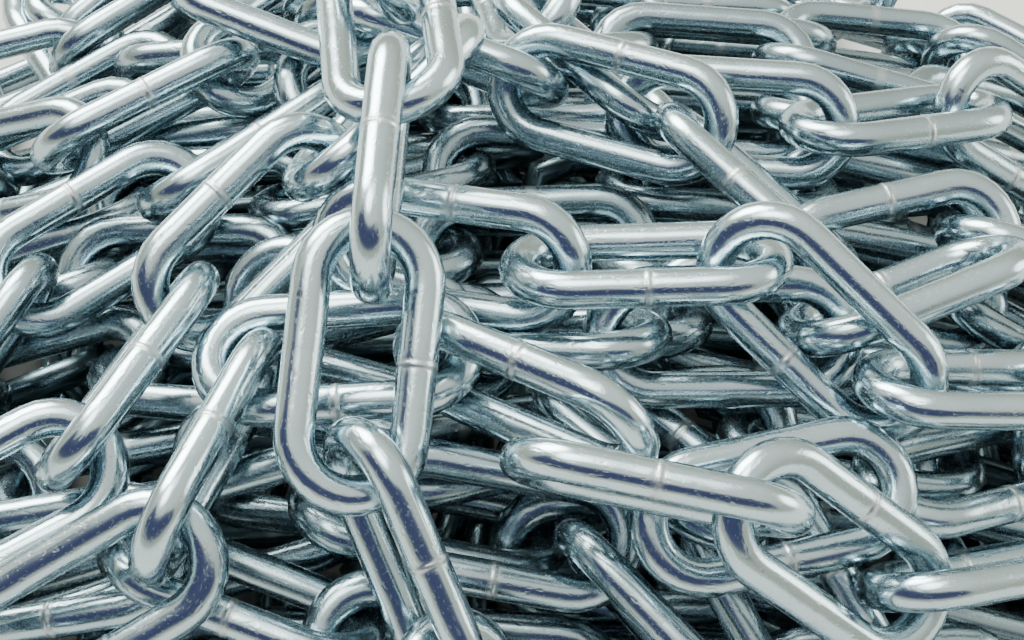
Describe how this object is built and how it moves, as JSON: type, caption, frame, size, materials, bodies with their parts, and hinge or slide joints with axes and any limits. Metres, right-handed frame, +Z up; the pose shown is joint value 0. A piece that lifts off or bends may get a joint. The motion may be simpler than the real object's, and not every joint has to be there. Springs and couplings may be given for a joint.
{
  "type": "heap of iron chain",
  "caption": "Low loose heap of bright zinc-plated long-link chain, the top lengths hooked link by link and lying over one another.",
  "frame": {"origin": "on the floor, under the middle of the heap's bounding box", "axes": "+Z up from the floor; +X along the heap's longer side; -Y towards the side the picture was taken from"},
  "size_m": [0.2476, 0.2274, 0.0978],
  "materials": {
    "zinc_plated_wire": "bright zinc plate, glossy, with fine drawing lines and a butt weld on one leg of each link",
    "core_links": "bright zinc plate, in the shade of the heap"
  },
  "bodies": {
    "root": {"core": "core_links", "lower_chain_1": "zinc_plated_wire", "lower_chain_2": "zinc_plated_wire", "lower_chain_3": "zinc_plated_wire", "lower_chain_4": "zinc_plated_wire", "chain_a_link_1": "zinc_plated_wire", "chain_a_link_2": "zinc_plated_wire", "chain_a_link_3": "zinc_plated_wire", "chain_b_link_1": "zinc_plated_wire", "chain_b_link_2": "zinc_plated_wire", "chain_b_link_3": "zinc_plated_wire", "chain_b_link_4": "zinc_plated_wire", "chain_b_link_5": "zinc_plated_wire", "chain_c_link_1": "zinc_plated_wire", "chain_c_link_2": "zinc_plated_wire", "chain_c_link_3": "zinc_plated_wire", "chain_c_link_4": "zinc_plated_wire", "chain_c_link_5": "zinc_plated_wire", "chain_d_link_1": "zinc_plated_wire", "chain_d_link_2": "zinc_plated_wire", "chain_d_link_3": "zinc_plated_wire", "chain_d_link_4": "zinc_plated_wire", "chain_d_link_5": "zinc_plated_wire", "chain_d_link_6": "zinc_plated_wire", "chain_e_link_1": "zinc_plated_wire", "chain_e_link_2": "zinc_plated_wire", "chain_e_link_3": "zinc_plated_wire", "chain_e_link_4": "zinc_plated_wire", "chain_f_link_1": "zinc_plated_wire", "chain_f_link_2": "zinc_plated_wire", "chain_f_link_3": "zinc_plated_wire", "chain_f_link_4": "zinc_plated_wire", "chain_g_link_1": "zinc_plated_wire", "chain_g_link_2": "zinc_plated_wire", "chain_g_link_3": "zinc_plated_wire", "chain_h_link_1": "zinc_plated_wire", "chain_h_link_2": "zinc_plated_wire", "chain_h_link_3": "zinc_plated_wire", "chain_h_link_4": "zinc_plated_wire", "chain_i_link_1": "zinc_plated_wire", "chain_i_link_2": "zinc_plated_wire", "chain_j_link_1": "zinc_plated_wire", "chain_j_link_2": "zinc_plated_wire", "chain_j_link_3": "zinc_plated_wire", "chain_j_link_4": "zinc_plated_wire", "chain_j_link_5": "zinc_plated_wire", "chain_k_link_1": "zinc_plated_wire", "chain_k_link_2": "zinc_plated_wire", "chain_k_link_3": "zinc_plated_wire", "chain_k_link_4": "zinc_plated_wire", "chain_k_link_5": "zinc_plated_wire", "chain_k_link_6": "zinc_plated_wire", "foot_chain": "zinc_plated_wire", "middle_chain_1": "zinc_plated_wire", "middle_chain_2": "zinc_plated_wire", "middle_chain_3": "zinc_plated_wire"}
  },
  "joints": []
}
